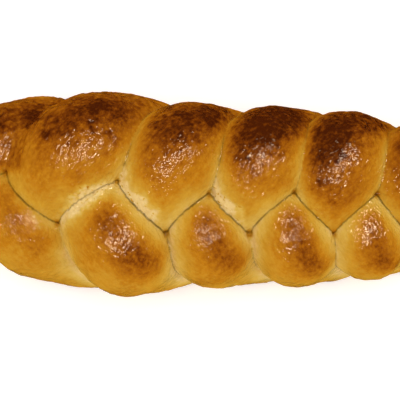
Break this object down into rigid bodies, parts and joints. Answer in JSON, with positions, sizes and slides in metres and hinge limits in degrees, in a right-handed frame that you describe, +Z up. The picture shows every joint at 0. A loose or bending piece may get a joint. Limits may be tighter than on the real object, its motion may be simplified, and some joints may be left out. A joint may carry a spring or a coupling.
{
  "type": "braided loaf",
  "caption": "Egg-glazed loaf of bread plaited from strands of dough, plump at one end and tapering to the other, with a flat base.",
  "frame": {"origin": "centre of the base, on the plane the loaf rests on, in the middle of the loaf's length and width", "axes": "+X along the loaf towards its slim end, +Y across it towards its plumper and browner side, +Z up"},
  "size_m": [0.3808, 0.12, 0.077],
  "materials": {
    "crust": "egg-glazed bread crust, deep brown on the crests and pale gold in the creases"
  },
  "bodies": {
    "root": {"braided_loaf": "crust"}
  },
  "joints": []
}
